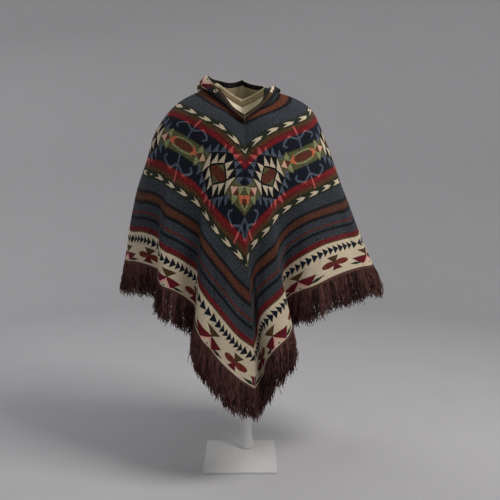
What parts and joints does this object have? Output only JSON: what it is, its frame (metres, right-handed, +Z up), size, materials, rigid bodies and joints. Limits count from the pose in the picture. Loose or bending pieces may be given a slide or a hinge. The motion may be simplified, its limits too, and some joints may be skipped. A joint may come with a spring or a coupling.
{
  "type": "hooded poncho on dress form",
  "caption": "Long-pointed hooded poncho of two mitred striped strips with a yarn fringe, hood laid back, hung on a limbless dress form with a pole and square foot.",
  "frame": {"origin": "on the floor, under the axis of the stand's pole, at the underside of the foot plate", "axes": "+Z up along the pole, -Y towards the front of the poncho (the V of the neck), +X towards the viewer's right when looking at the front"},
  "size_m": [0.9551, 0.6248, 1.3816],
  "materials": {
    "charcoal_wool": "brushed heathered wool, woven in stripes",
    "charcoal_hood_wool": "brushed heathered wool, paler inside",
    "brown_fringe_wool": "loose wool yarn",
    "ivory_form": "taut plain jersey",
    "white_paint": "satin white powder coat"
  },
  "bodies": {
    "root": {"panel_left": "charcoal_wool", "panel_right": "charcoal_wool", "hood_left": "charcoal_hood_wool", "hood_right": "charcoal_hood_wool", "fringe_front_left": "brown_fringe_wool", "fringe_front_right": "brown_fringe_wool", "fringe_back_left": "brown_fringe_wool", "fringe_back_right": "brown_fringe_wool", "form_torso": "ivory_form", "stand_pole": "white_paint", "stand_base": "white_paint"}
  },
  "joints": []
}
